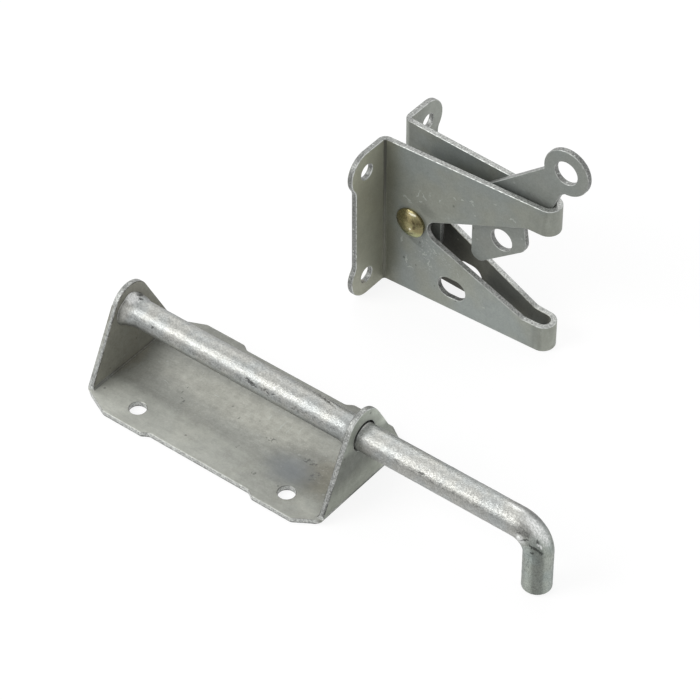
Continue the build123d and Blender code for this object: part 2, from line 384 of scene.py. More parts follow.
def zinc_sheet(
    net, cool, warm, edge, rim, shade, cut, warmth=0.0, scuffs=0.0, groove_shade=0.0, mottle=0.04
):
    """Colour, roughness and relief of dull galvanised sheet.

    cool and warm are its two tones, warmth adds to the warm one and shade darkens or lightens.
    edge is 1 on the cut edges and cut lightens them. rim is 1 where a face turns into one and gets
    a painted highlight, the groove mask is 1 where it gets painted shade, and scuffs is 1 on light
    rubbed marks. mottle is how much its patches vary."""
    # Faces: both tones in clouds, smaller patches and a fine grain
    clouds = net.step(net.noise(18.0, detail=2.0), 0.38, 0.62, 0.0, 0.45)
    patches = net.noise(4.0, detail=4.0, roughness=0.65, shift=31.0)
    grain = net.noise(0.6, detail=2.0, roughness=0.7, shift=7.0)
    tone = net.mix(net.largest(clouds, warmth), cool, warm)
    soft = net.step(patches, 0.30, 0.70, 1.0 - mottle, 1.0 + mottle)
    fine = net.step(grain, 0.25, 0.75, 0.93, 1.07)
    tone = net.times(tone, net.product(soft, fine, shade))

    # Small flecks of zinc in groups, rubbed marks, and a few dark pits
    fleck_cells = net.cells(1.9, place=net.vector("ADD", net.place, (3.1, 7.7, 1.9)))
    size = net.step(net.split(fleck_cells["Color"])[2], 0.0, 1.0, 0.05, 0.24)
    near = net.step(net.less(fleck_cells["Distance"], size), 0.05, -0.05)
    group = net.step(net.noise(7.0, detail=1.0, shift=61.0), 0.50, 0.66)
    some = net.step(net.split(fleck_cells["Color"])[0], 0.5, 0.7)
    light = net.largest(net.product(near, group, some, 0.45), scuffs)
    tone = net.mix(light, tone, FLECK_ZINC)
    pit_cells = net.cells(6.5)
    pits = net.step(pit_cells["Distance"], 0.10, 0.04)
    pits = net.product(pits, net.step(net.split(pit_cells["Color"])[1], 0.60, 0.70))
    tone = net.times(tone, net.outside(net.product(pits, 0.45)))

    # Cut edges: lighter and uneven, with a few glints
    speckle = net.noise(0.6, roughness=0.7, shift=53.0)
    bright = net.times(CUT_ZINC, net.product(net.step(speckle, 0.34, 0.66, 0.60, 1.38), cut))
    glint_cells = net.cells(1.1)
    glints = net.step(glint_cells["Distance"], 0.34, 0.16)
    glints = net.product(glints, net.step(net.split(glint_cells["Color"])[0], 0.66, 0.74))
    bright = net.mix(net.product(glints, 0.7), bright, GLINT_ZINC)
    tone = net.mix(edge, tone, bright)

    # Painted highlights along rims and painted shade along grooves, in broken lines
    broken = net.step(net.noise(1.6, roughness=0.7, shift=23.0), 0.38, 0.58, 0.20, 0.95)
    wear_and_painted_light = net.product(rim, broken)
    tone = net.mix(wear_and_painted_light, tone, RIM_HIGHLIGHT_ZINC)
    tone = net.times(tone, net.outside(net.product(groove_shade, broken, 0.75)))

    rough = net.step(net.noise(2.2, shift=91.0), 0.3, 0.7, 0.44, 0.56)
    rough = net.less(rough, net.product(net.largest(edge, wear_and_painted_light), 0.10))
    relief = net.product(net.noise(3.2, detail=2.0, shift=17.0), 0.55)
    for layer, amount in ((grain, 0.14), (light, 0.20), (pits, -0.15)):
        relief = net.total(relief, net.product(layer, amount))
    return tone, rough, net.total(relief, net.product(edge, speckle, 0.6))


def off_plane(net, component):
    """1 where the surface turns away from the plane across one axis: the cut edge of a sheet."""
    return net.step(net.size(component), 0.75, 0.35)


def fold_of(net, first, second, full):
    """1 in the arc of a fold, where the normal has at least full of both of these parts."""
    first = net.step(net.size(first), 0.10, full)
    return net.product(first, net.step(net.size(second), 0.10, full))


def rim_of(net, component):
    """1 along the rounded line where a face towards that component's sign meets a cut edge."""
    return net.product(net.step(component, 0.14, 0.32), net.step(component, 0.99, 0.90))


def catch_scuffs(net, place):
    """Light scratches on the front plate, and specks where it is rubbed below the rivet."""
    # Each is its middle in x and z, its half length, and the degrees by which its end is raised
    strokes = (
        (15.0, 42.0, 1.9, 66), (17.2, 42.0, 1.9, -58), (16.0, 39.6, 0.8, 12),
        (10.9, 38.4, 1.7, -22), (11.8, 37.2, 1.2, -12), (9.6, 38.6, 0.9, 20),
        (28.9, 47.0, 0.9, -35), (31.8, 47.8, 0.5, 0), (34.9, 48.9, 1.0, 24),
        (35.6, 48.0, 0.7, -50), (36.6, 44.0, 0.6, 10), (50.2, 49.3, 1.1, 35),
        (51.4, 49.0, 0.9, -30), (10.8, 12.4, 2.1, -84), (12.2, 9.9, 1.3, 15),
        (8.9, 20.6, 1.9, 88), (44.0, 52.4, 0.7, 10), (23.0, 43.4, 0.7, 40),
        (19.6, 15.6, 1.5, 70), (18.0, 18.0, 1.2, 25), (21.5, 21.5, 1.2, -60),
        (24.5, 12.0, 1.0, 30), (13.2, 24.2, 1.2, 18), (41.0, 7.5, 0.9, -30),
    )
    lines = [
        ((x, PLATE_LEAN * x + PLATE_FRONT, z), (0.8 * reach, 0.9, 0.24), turn)
        for x, z, reach, turn in strokes
    ]
    scratches = net.marks(lines, net.warp(place, 1.1, 1.5), ragged=1.8, grain=0.5)
    rubbed = (
        ((19.5, -6.0, 18.5), (5.0, 1.2, 7.0), -20),
        ((27.0, -5.8, 19.0), (9.0, 1.2, 1.5), -41),
        ((17.5, -6.1, 24.0), (3.6, 1.2, 1.6), 0),
    )
    wear_and_painted_light = net.marks(rubbed, place, soft=0.5)
    specks = net.step(net.noise(0.7, detail=2.0, roughness=0.7, shift=77.0), 0.58, 0.68)
    return net.total(net.product(scratches, 0.85), net.product(wear_and_painted_light, specks, 0.85))


def catch_material():
    net = Net("catch_sheet_zinc", metallic=0.5)
    place = net.place_from(CATCH)
    x, y, z = net.split(place)
    nx, ny, nz = net.split(net.normal)

    # Cut edges: off the plane of the plates and of the flanges, and above and below at the bends
    away = net.size(y)
    flange = net.product(net.step(x, 3.4, 3.0), net.step(away, 7.4, 7.9))
    nose_bend = net.step(x, 59.6, 60.2)
    bend = net.largest(nose_bend, net.step(x, 5.6, 5.0))
    edge = net.mix_value(bend, off_plane(net, ny), net.step(net.size(nz), 0.3, 0.7))
    edge = net.largest(edge, net.product(flange, off_plane(net, nx)))

    # Painted highlights along the rims: the front plate's, the noses' and, most of all high up,
    # the flanges'
    rim = net.product(rim_of(net, net.product(ny, -1.0)), net.step(z, 50.0, 54.0, 0.5, 1.0))
    rim = net.product(rim, net.outside(bend))
    rim = net.largest(rim, net.product(rim_of(net, nz), nose_bend))
    upper = net.product(flange, net.step(z, 34.0, 42.0, 1.0, 2.2))
    rim = net.largest(rim, net.product(rim_of(net, nx), upper))

    # Painted shade: darker and browner in the folds, dull on the inner faces between the plates
    # and a little darker behind each nose; painted light low on the jaw
    fold = net.step(x, 11.0, 2.5)
    fold = net.product(fold, net.step(net.noise(9.0, shift=3.0), 0.3, 0.6, 0.75, 1.0))
    outward = net.product(y, ny)
    dull = net.product(net.step(z, 50.0, 30.0), net.step(x, 36.0, 14.0, 0.48, 0.76))
    dull = net.product(dull, net.step(outward, -0.8, -2.0))
    neck_shade = net.product(net.step(x, 52.0, 58.5), net.step(x, 61.6, 59.8))
    neck_shade = net.product(neck_shade, net.step(z, 20.0, 34.0, 0.10, 0.05))
    low = net.product(net.step(z, 26.0, 8.0, 0.0, 0.16), net.step(x, 18.0, 34.0))
    shade = net.less(net.total(low, 1.08), neck_shade)
    plate_fold = net.product(fold, net.step(x, 2.2, 3.2, 0.0, 0.30))
    shade = net.product(shade, net.outside(plate_fold), net.outside(dull))

    # Painted light on the flanges towards their far sides and their tops, and painted shade in the
    # fold beside them
    pale = net.product(flange, net.step(away, 8.0, 20.0, 0.12, 0.36))
    pale = net.product(pale, net.step(z, 42.0, 54.0, 1.0, 1.6))
    shade = net.product(shade, net.total(pale, 1.0))
    corner = net.product(fold_of(net, nx, ny, 0.45), net.step(outward, 0.0, 1.0))
    corner = net.product(corner, net.step(x, 5.0, 4.4), net.step(nx, -0.1, 0.1))
    corner = net.product(corner, net.step(z, 16.0, 50.0, 0.50, 0.74))
    shade = net.product(shade, net.outside(corner))

    # Noses in upright streaks, with painted light where they face forward and higher up
    nose_light_and_streaks = net.total(net.step(nx, 0.30, 0.62, -0.09, 0.10), net.step(z, 20.0, 34.0, -0.02, 0.05))
    streaks = net.noise(2.4, place=place, stretch=(1.0, 1.0, 0.25), shift=19.0)
    nose_light_and_streaks = net.total(nose_light_and_streaks, net.step(streaks, 0.34, 0.66, -0.07, 0.07))
    nose_light_and_streaks = net.product(nose_light_and_streaks, net.step(x, 58.5, 60.2))
    shade = net.product(shade, net.total(nose_light_and_streaks, 1.0))

    # Painted shade on the rear flange, and painted light at the top of both
    behind = net.step(y, -1.0, 1.0)
    shade = net.product(shade, net.level(net.product(flange, behind), 0.74))
    high = net.product(flange, net.step(z, 41.0, 50.0, 0.0, 0.17))
    shade = net.product(shade, net.total(high, 1.0))

    # Two stains on the front plate, and a painted shadow in a soft dark ring around the rivet
    stains = (
        ((18.2, -6.0, 36.6), (3.2, 1.4, 2.0), -18),
        ((14.5, -6.3, 21.6), (3.0, 1.4, 0.8), -20),
    )
    stained = net.marks(stains, place, ragged=1.4, soft=0.7)
    shade = net.product(shade, net.level(stained, 0.78))
    ring = net.marks([((13.3, -6.3, 28.5), (6.3, 1.4, 6.3), 0)], place, ragged=0.2, soft=0.12)
    shade = net.product(shade, net.level(ring, 0.85))
    scuffs = catch_scuffs(net, place)

    # Cut edges are lightest along the lower jaw of the rear plate and at the noses
    jaw = net.product(net.step(z, 33.0, 29.0), net.step(x, 52.0, 44.0), net.step(x, 18.0, 24.0))
    cut = net.total(net.product(jaw, behind, 0.75), 1.0)
    cut = net.product(cut, net.level(behind, 1.20))
    cut = net.product(cut, net.step(x, 2.4, 4.0, 0.78, 1.0), net.step(x, 50.0, 56.0, 1.0, 1.15))
    # Warmer in the folds, under their painted shade, and on the flanges, less so behind
    warmth = net.product(net.largest(fold, flange), net.step(behind, 0.0, 1.0, 0.88, 0.3))
    tone, rough, relief = zinc_sheet(
        net,
        cool=(0.232, 0.252, 0.240),
        warm=(0.262, 0.262, 0.205),
        edge=edge,
        rim=rim,
        shade=shade,
        cut=cut,
        warmth=warmth,
        scuffs=scuffs,
    )
    # The painted shade between the plates is warmer too
    tone = net.tinted(dull, tone, (1.02, 0.95, 0.82))
    return net.finish(tone, rough, relief, depth=0.12)


def lever_material():
    net = Net("latch_lever_zinc", metallic=0.5)
    ny = net.split(net.normal)[1]
    z = net.split(net.place_from(CATCH))[2]
    # Painted highlight along the rims of its front face, and lighter low down
    tone, rough, relief = zinc_sheet(
        net,
        cool=(0.240, 0.258, 0.244),
        warm=(0.258, 0.264, 0.234),
        edge=off_plane(net, ny),
        rim=net.product(rim_of(net, net.product(ny, -1.0)), 0.55),
        shade=net.step(z, 30.0, 20.0, 1.0, 1.16),
        cut=0.82,
    )
    return net.finish(tone, rough, relief, depth=0.10)


def on_base(spots, depth=1.0):
    """Ellipses on the base plate, each given as x, y and its half lengths."""
    return [((x, y, BASE_TOP), (long, wide, depth), 0) for x, y, long, wide in spots]


def outer_ear_shade(net, x, y, z):
    """Levels up and across the outer face of the right ear, and 1 everywhere else."""
    up = net.total(net.step(z, 6.0, 13.0, 0.98, 0.57), net.step(z, 18.5, 23.0, 0.0, 0.66))
    up = net.total(up, net.step(z, 24.0, 30.0, 0.0, 0.28))
    across = net.total(net.step(y, 3.0, 6.5, 1.0, 1.18), net.step(y, 6.5, 9.5, 0.0, 0.52))
    face = net.product(up, across, net.step(x, 93.0, 93.6))
    return net.total(face, net.step(x, 93.0, 93.6, 1.0, 0.0))


def bracket_scuffs(net, place):
    """Groups of light specks, and a few hair scratches."""
    specks = net.step(net.noise(0.8, roughness=0.7, shift=29.0), 0.56, 0.68)
    group = net.step(net.noise(9.0, detail=2.0, shift=47.0), 0.42, 0.60)
    hairs = on_base(
        (
            (53.3, 4.6, 0.18, 1.5),
            (58.8, 4.2, 0.20, 2.2),
            (61.4, 4.4, 0.18, 1.9),
            (64.6, 6.0, 0.18, 1.6),
            (34.0, 1.8, 0.9, 0.16),
            (17.5, -3.0, 1.3, 0.16),
            (40.5, -14.8, 1.6, 0.15),
        )
    )
    scratches = net.marks(hairs, net.warp(place, 2.5, 1.6), ragged=1.2)
    return net.largest(net.product(specks, group, 0.42), net.product(scratches, 0.50))


def bracket_material():
    net = Net("striker_bracket_zinc", metallic=0.5)
    place = net.place_from(STRIKER)
    x, y, z = net.split(place)
    nx, ny, nz = net.split(net.normal)
    ear = net.step(z, 2.6, 3.1)
    base = net.outside(ear)

    # Cut edges: off the flat of the base and of the ears, and in front and behind at the folds
    flat = net.product(net.step(x, 3.4, 4.0), net.step(x, 90.8, 90.2))
    edge = net.mix_value(flat, net.step(net.size(ny), 0.3, 0.7), off_plane(net, nz))
    edge = net.mix_value(ear, edge, off_plane(net, nx))

    # Painted light and shade: the base is lighter than the ears and along its near edge, and
    # darker at its far edge
    left = net.product(net.step(x, 62.0, 22.0), base)
    shade = net.product(net.step(left, 0.0, 1.0, 1.28, 1.16), net.level(ear, 0.93))
    far_shade = net.product(net.step(y, 5.0, 12.0), base)
    shade = net.product(shade, net.level(far_shade, 0.75))
    near = net.product(net.step(y, -9.0, -14.0), net.step(x, 76.0, 30.0, 0.0, 0.38), base)
    shade = net.product(shade, net.total(near, 1.0))

    # Painted light on its near corners; its middle is warmer, its right end is dull, all finely
    # drawn out
    corners = on_base(((11.5, -18.5, 6.5, 6.5), (87.0, -18.5, 5.0, 3.6)), depth=2.0)
    lit = net.marks(corners, place, soft=0.7, grain=4.0)
    shade = net.product(shade, net.level(lit, 1.24))
    warm = net.marks(on_base([(48.0, 2.5, 34.0, 6.5)], depth=2.0), place, soft=0.8, grain=5.0)
    shade = net.product(shade, net.level(warm, 1.05))
    dulled = net.marks(on_base([(76.5, -5.5, 12.5, 8.0)], depth=2.0), place, soft=0.7, grain=5.0)
    shade = net.product(shade, net.level(dulled, 0.72))
    drawn = net.noise(1.3, roughness=0.65, place=place, stretch=(0.16, 1.0, 1.0), shift=83.0)
    shade = net.product(shade, net.step(drawn, 0.32, 0.68, 0.955, 1.045))

    # Painted shade with a brown tint in the left ear, its fold and by the right fold, painted
    # shade on the outer face, and in the arcs of the folds
    brown_shade_spots = (
        ((3.5, 0.0, 9.0), (2.5, 9.0, 10.0), 0),
        ((2.0, -1.0, 2.0), (2.4, 10.0, 2.5), 0),
        ((84.0, -5.0, 2.0), (9.0, 9.0, 2.0), 0),
    )
    brown_shade = net.marks(brown_shade_spots, place, soft=0.7, grain=4.0)
    shade = net.product(shade, net.level(brown_shade, 0.86), outer_ear_shade(net, x, y, z))
    fold = net.product(fold_of(net, nx, nz, 0.28), net.step(z, 5.0, 4.4), net.step(z, 1.6, 2.0))
    shade = net.product(shade, net.level(fold, 0.46))

    stains = on_base(
        (
            (75.4, -3.0, 2.4, 1.3),
            (53.6, -11.3, 0.45, 0.9),
            (27.6, -6.8, 0.35, 1.2),
            (80.5, -7.0, 1.4, 2.2),
            (60.0, -2.7, 2.2, 0.9),
            (46.0, -2.3, 0.25, 1.3),
            (24.6, -2.3, 0.22, 2.0),
            (26.6, -5.6, 1.0, 0.2),
            (65.2, -17.4, 1.3, 0.6),
        )
    )
    dark = net.marks(stains, place)
    specks = net.step(net.noise(0.9, detail=2.0, shift=41.0), 0.46, 0.60)
    shade = net.product(shade, net.level(net.product(dark, specks), 0.50))

    # Painted highlight along each ear's outer rim, save low on the right ear where it is painted
    # shade, and painted shade along each inner rim and the foot of the cut edges
    outward = net.product(nx, net.step(x, 40.0, 50.0, -1.0, 1.0))
    outer = net.product(rim_of(net, outward), ear)
    lower = net.product(net.step(x, 40.0, 50.0), net.step(z, 15.0, 11.0))
    groove_shade = net.product(outer, lower)
    rim = net.product(outer, net.less(net.step(x, 40.0, 50.0, 0.55, 1.0), lower))
    inner = net.product(rim_of(net, net.product(outward, -1.0)), ear)
    groove_shade = net.largest(groove_shade, inner)
    groove_shade = net.largest(groove_shade, net.product(edge, net.step(z, 0.80, 0.35)))
    scuffs = net.product(bracket_scuffs(net, place), base)

    outer_face = net.product(net.step(x, 93.0, 93.6), net.step(z, 10.0, 20.0, 0.25, 0.55))
    ear_warmth = net.product(ear, net.less(0.8, outer_face))
    tone, rough, relief = zinc_sheet(
        net,
        cool=(0.236, 0.248, 0.238),
        warm=(0.262, 0.255, 0.212),
        edge=edge,
        rim=rim,
        shade=shade,
        cut=net.step(ear, 0.0, 1.0, 1.65, 1.0),
        warmth=net.largest(brown_shade, net.step(warm, 0.0, 1.0, 0.38, 0.58), ear_warmth),
        scuffs=scuffs,
        groove_shade=groove_shade,
        mottle=0.07,
    )
    green = net.product(net.step(x, 93.0, 93.6), net.step(nx, 0.6, 0.9))
    tone = net.tinted(green, tone, (0.95, 1.0, 0.96))
    blue = net.marks(on_base([(72.7, -9.5, 7.0, 5.0)], depth=2.0), place, soft=0.8, grain=4.0)
    tone = net.mix(net.product(blue, 0.55), tone, (0.218, 0.240, 0.262))
    return net.finish(tone, rough, relief, depth=0.12)


# Bright metal: the rivet, the spacers and the bar


def rivet_material():
    """Yellow passivated zinc, greener below, with a few rusty pits, painted shade on its left and
    right and painted highlights: a bright streak and a glint.
    """
    net = Net("pivot_rivet_zinc", metallic=0.9)
    place = net.place_from(CATCH)
    patches = net.noise(2.4)
    grain = net.noise(0.5, detail=2.0, shift=9.0)
    x, _, z = net.split(place)
    tone = net.mix(net.step(patches, 0.36, 0.66), (0.37, 0.315, 0.160), (0.32, 0.29, 0.150))
    # Painted shade towards its left side and on its right side
    tone = net.times(tone, net.step(x, 9.0, 13.0, 0.74, 1.0))
    right = net.product(net.step(x, 13.4, 15.6), net.step(z, 26.0, 28.0))
    tone = net.times(tone, net.level(right, 0.62))
    tone = net.mix(net.step(z, 28.5, 25.0, 0.0, 0.7), tone, (0.31, 0.35, 0.15))
    tone = net.times(tone, net.step(grain, 0.3, 0.7, 0.92, 1.08))
    # Painted highlights: a bright streak and a small glint
    glints = (
        ((13.8, -8.4, 33.6), (1.4, 2.0, 0.36), -6),
        ((13.6, -9.0, 28.3), (0.45, 1.5, 0.50), 0),
    )
    glint = net.marks(glints, place, ragged=1.2, grain=0.6)
    tone = net.mix(net.product(glint, 0.8), tone, (0.85, 0.82, 0.66))
    pits = (
        ((14.6, -9.0, 31.3), (0.9, 1.5, 0.40), -50),
        ((15.9, -9.0, 31.2), (0.5, 1.5, 0.5), 0),
        ((15.0, -9.0, 29.5), (0.5, 1.5, 1.0), -20),
        ((14.0, -9.0, 26.3), (1.2, 1.5, 0.4), 10),
    )
    rust = net.marks(pits, place, ragged=2.0, grain=0.6)
    tone = net.mix(net.product(rust, 0.75), tone, (0.07, 0.05, 0.02))
    rough = net.step(patches, 0.35, 0.65, 0.18, 0.30)
    return net.finish(tone, rough, net.less(grain, net.product(rust, 0.6)), depth=0.06)


def spacer_material():
    """Plain bright metal with a fine grain."""
    net = Net("spacer_zinc", metallic=0.9)
    grain = net.noise(0.8, detail=2.0)
    tone = net.mix(net.step(grain, 0.3, 0.7), (0.30, 0.30, 0.29), (0.42, 0.42, 0.40))
    return net.finish(tone, net.step(grain, 0.3, 0.7, 0.36, 0.46), grain, depth=0.05)


def on_bar(*spots):
    """Ellipses on the unrolled bar, each given as its place along and around the bar, its half
    lengths along and around it, and the degrees by which it is turned."""
    return [
        ((along, 0.0, around), (long, 1.0, wide), turn)
        for along, around, long, wide, turn in spots
    ]


def bar_material():
    """Bright lumpy zinc. Places are along the bar as if it were straight, and off its middle."""
    net = Net("striker_bar_zinc", metallic=0.85)
    attribute = net.tree.nodes.new("ShaderNodeAttribute")
    attribute.attribute_name = "straight"
    rod = attribute.outputs["Vector"]
    along, side, over = net.split(rod)
    turn = net.math("ARCTAN2", over, net.product(side, -1.0))
    flat = net.combine(along, 0.0, net.product(turn, BAR_RADIUS))
    streaks = net.noise(1.5, detail=2.0, roughness=0.6, place=rod, stretch=(0.6, 1.0, 1.0))
    clouds = net.noise(7.0, detail=2.0, place=rod, shift=13.0)
    grain = net.noise(0.5, detail=2.0, roughness=0.75, place=rod, shift=5.0)
    tone = net.mix(net.step(clouds, 0.36, 0.64), (0.318, 0.330, 0.324), (0.342, 0.342, 0.322))
    shade = net.step(streaks, 0.30, 0.70, 0.92, 1.08)
    tone = net.times(tone, net.product(shade, net.step(grain, 0.30, 0.70, 0.80, 1.20)))

    # Painted light and shade: paler on top of its free part, darker on the far side, and a dark
    # band and dark flanks down the leg, which is also greener
    leg = net.step(along, 154.0, 161.0)
    rest = net.outside(leg)
    far_shade = net.product(net.step(side, 2.2, 3.6, 0.0, 0.38), rest)
    free = net.product(net.step(along, 92.0, 96.0), rest)
    top_light = net.product(net.step(over, 3.7, 4.5, 0.0, 0.22), free)
    across = net.total(net.product(over, 0.785), net.product(side, 0.62))
    leg_band_shade = net.step(net.size(net.total(across, 0.3)), 2.6, 1.0, 0.0, 0.44)
    flank_shade = net.step(net.size(across), 3.7, 4.6, 0.05, 0.36)
    wear_and_painted_light = net.product(net.total(leg_band_shade, flank_shade), leg)
    change = net.less(net.less(top_light, far_shade), wear_and_painted_light)
    tone = net.times(tone, net.total(change, 1.0))
    tone = net.tinted(leg, tone, (1.03, 1.11, 1.06))

    # Painted highlight and shade: lighter and darker lines along it, which sharpen the edges of
    # the highlight
    around = net.split(flat)[2]
    for middle, width, amount in ((3.5, 0.9, 0.16), (1.7, 0.9, -0.12), (-0.6, 1.3, 0.12)):
        line = net.step(net.size(net.less(around, middle)), width, 0.0)
        tone = net.times(tone, net.total(net.product(line, rest, amount), 1.0))

    # A pressed pale spot by the first ear and small ones in the bend, brightened as painted
    # highlights
    pale = on_bar(
        (2.9, 7.0, 2.0, 1.9, 0),
        (155.7, 0.2, 1.6, 1.1, 0),
        (159.1, 4.1, 0.4, 0.4, 0),
        (159.8, 4.6, 0.5, 0.3, 0),
    )
    highlight_flakes = net.noise(0.5, roughness=0.75, place=rod, shift=37.0)
    highlight_flakes = net.step(highlight_flakes, 0.42, 0.58)
    pressed_highlight = net.product(net.marks(pale, flat, ragged=1.1), net.total(highlight_flakes, 0.8))
    tone = net.mix(net.product(pressed_highlight, 0.5), tone, (0.72, 0.73, 0.72))

    # Painted highlight in bright flakes over the bend, and painted shade below it and along the
    # far side that turns down
    bend_highlight_spots = on_bar((156.6, 6.9, 3.1, 2.0, 10), (150.0, 8.2, 2.6, 0.9, 0))
    bend = net.marks(bend_highlight_spots, flat, ragged=1.2, soft=0.7)
    bend = net.product(bend, net.total(net.product(highlight_flakes, 0.6), 0.4), 0.9)
    tone = net.mix(bend, tone, (0.92, 0.93, 0.92))
    dim = net.marks(on_bar((154.9, 3.4, 2.0, 1.8, 20)), flat, ragged=1.0, soft=0.6)
    tone = net.times(tone, net.level(dim, 0.68))
    far_side_shade = net.product(net.step(across, 3.6, 4.6), net.step(along, 142.0, 151.0), rest)
    tone = net.times(tone, net.level(far_side_shade, 0.58))

    # Pits, long nicks and the crease in the bend
    pits = on_bar(
        (51.9, 2.2, 1.0, 0.34, 12),
        (53.4, 1.7, 1.5, 0.50, 0),
        (54.8, 1.1, 1.1, 0.34, 8),
        (59.1, 1.9, 0.5, 0.22, 40),
        (60.4, 1.35, 1.2, 0.30, -8),
        (62.2, 1.8, 0.8, 0.2, 20),
        (14.1, 2.1, 0.5, 0.45, 0),
        (78.0, 9.5, 3.4, 0.20, -15),
        (3.4, 9.6, 0.5, 0.9, 0),
        (4.9, 8.8, 0.4, 0.7, -40),
        (159.9, 2.8, 2.1, 0.42, 49),
        (160.7, 1.4, 0.8, 0.28, 53),
        (158.65, 4.55, 0.4, 0.35, 0),
        (156.6, 1.3, 1.1, 0.22, 60),
        (154.6, 1.5, 0.8, 0.25, 40),
        (118.6, 2.6, 1.2, 0.2, 10),
    )
    dark = net.marks(pits, net.warp(flat, 1.2, 1.2), ragged=2.2, grain=0.6)
    tone = net.times(tone, net.level(dark, 0.38))

    # Zones of small dark scabs
    zones = on_bar(
        (68.0, 1.2, 24.0, 1.0, 0),
        (30.0, 0.8, 16.0, 0.6, 0),
        (122.0, 2.2, 26.0, 0.7, 0),
        (154.9, 2.8, 1.8, 1.2, 0),
        (166.0, -1.0, 7.0, 1.2, 0),
    )
    zone = net.marks(zones, flat, ragged=0.6, soft=0.6)
    scabs = net.step(net.noise(1.0, roughness=0.7, place=rod, shift=71.0), 0.50, 0.60)
    tone = net.times(tone, net.level(net.product(zone, scabs), 0.62))
    rough = net.step(grain, 0.3, 0.7, 0.46, 0.34)
    relief = net.total(net.product(streaks, 0.5), net.product(grain, 0.65))
    relief = net.less(relief, net.product(dark, 0.35))
    return net.finish(tone, rough, relief, depth=0.20)


# Meshes


def round_edges(node):
    """Rounds a CAD node's edges a little, as zinc does, and keeps its flat faces flat."""
    target = nodes[node]
    weld = target.modifiers.new("weld", "WELD")
    weld.merge_threshold = SAME_PLACE * MM
    merge = target.modifiers.new("merge_flats", "DECIMATE")
    merge.decimate_type = "DISSOLVE"
    merge.angle_limit = FLAT_ANGLE
    bevel = target.modifiers.new("round_edges", "BEVEL")
    bevel.width = EDGE_ROUNDING * MM
    bevel.segments = 2
    bevel.limit_method = "ANGLE"
    bevel.angle_limit = EDGE_ANGLE
    bevel.use_clamp_overlap = False
    bevel.miter_outer = "MITER_ARC"
    smooth = target.modifiers.new("smooth", "WEIGHTED_NORMAL")
    smooth.weight = 100
    smooth.keep_sharp = False


def link_mesh(name, mesh):
    """A smooth object of that name in the scene, made of the mesh."""
    for face in mesh.faces:
        face.smooth = True
    data = bpy.data.meshes.new(name)
    mesh.to_mesh(data)
    mesh.free()
    target = bpy.data.objects.new(name, data)
    bpy.context.scene.collection.objects.link(target)
    return target


def rounded_bracket():
    """The bracket's CAD shape with rounded edges, save at the four sharp feet of its ears."""
    source = nodes["striker_bracket"]
    feet = [STRIKER + Vector((x, y, BASE_TOP)) for x in (0.1, 94.1) for y in (-20.2, 20.2)]
    mesh = bmesh.new()
    mesh.from_mesh(source.data)
    mesh.transform(source.matrix_world)
    bmesh.ops.remove_doubles(mesh, verts=mesh.verts, dist=SAME_PLACE * MM)
    flats = {"verts": mesh.verts, "edges": mesh.edges}
    bmesh.ops.dissolve_limit(mesh, angle_limit=FLAT_ANGLE, **flats)
    foot_reach = 1.0
    edges = [
        edge for edge in mesh.edges
        if edge.calc_face_angle(0.0) > EDGE_ANGLE
        and all((vert.co / MM - foot).length > foot_reach for vert in edge.verts for foot in feet)
    ]
    bmesh.ops.bevel(
        mesh, geom=edges, offset=EDGE_ROUNDING * MM, segments=2, profile=0.5, affect="EDGES",
        clamp_overlap=False, miter_outer="ARC",
    )
    bracket = link_mesh("rounded_bracket", mesh)
    smooth = bracket.modifiers.new("smooth", "WEIGHTED_NORMAL")
    smooth.weight = 100
    return bracket


def bar_line(distance):
    """Point on the bar's middle line at that length from its start, and its direction."""
    straight = BAR_LEG_X - BAR_BEND - BAR_START
    arc = math.pi / 2 * BAR_BEND
    if distance <= straight:
        return Vector((BAR_START + distance, 0, BAR_HEIGHT)), Vector((1, 0, 0))
    if distance <= straight + arc:
        turn = (distance - straight) / BAR_BEND
        centre = Vector((BAR_LEG_X - BAR_BEND, 0, BAR_HEIGHT - BAR_BEND))
        place = centre + BAR_BEND * Vector((math.sin(turn), 0, math.cos(turn)))
        return place, Vector((math.cos(turn), 0, -math.sin(turn)))
    down = distance - straight - arc
    return Vector((BAR_LEG_X, 0, BAR_HEIGHT - BAR_BEND - down)), Vector((0, 0, -1))


# Small forms on the bar: the two ends of a line as (length along, turn), half width and height.
# The turn is 0 on its side towards the camera and 90 on top.
BAR_FORMS = (
    ((2.6, 80), (3.0, 92), 2.0, 0.60),
    ((74.7, 124), (83.0, 98), 0.5, -0.25),
    ((155.4, 1), (156.1, 0), 1.3, 0.75),
    ((158.5, 15), (161.2, 52), 0.6, -0.40),
    ((158.6, 53), (158.7, 55), 0.45, -0.30),
    ((51.2, 31), (55.0, 14), 0.5, -0.15),
    ((59.0, 22), (62.0, 20), 0.5, -0.15),
)


def form_height(along, angle, form):
    """Height of one small form at a place on the bar, fading smoothly from its middle line."""
    (start_along, start_turn), (end_along, end_turn), width, height = form
    start = Vector((start_along, math.radians(start_turn) * BAR_RADIUS))
    run = Vector((end_along, math.radians(end_turn) * BAR_RADIUS)) - start
    here = Vector((along, math.pi * BAR_RADIUS - angle * BAR_RADIUS)) - start
    share = max(0.0, min(1.0, here.dot(run) / run.length_squared))
    away = (here - share * run).length / width
    return height * (1 - away * away) ** 2 if away < 1 else 0.0


def flared(radius, along, angle):
    """The radius with the staked zinc inside the ears, which swells most on its near side."""
    for face, side in STAKE_FACES:
        reach = (along - face) * side / STAKE_HALF[0]
        if 0 <= reach < 1:
            section = math.hypot(math.cos(angle) / STAKE_HALF[1], math.sin(angle) / STAKE_HALF[2])
            radius = max(radius, math.sqrt(1 - reach * reach) / section)
            swell = 0.1 + 0.9 * max(0.0, math.cos(angle - SWOLLEN_SIDE))
            radius += swell * (max(0.0, 1 - reach / 0.38) ** 2 + max(0.0, 1 - reach / 0.08) ** 2)
    return radius


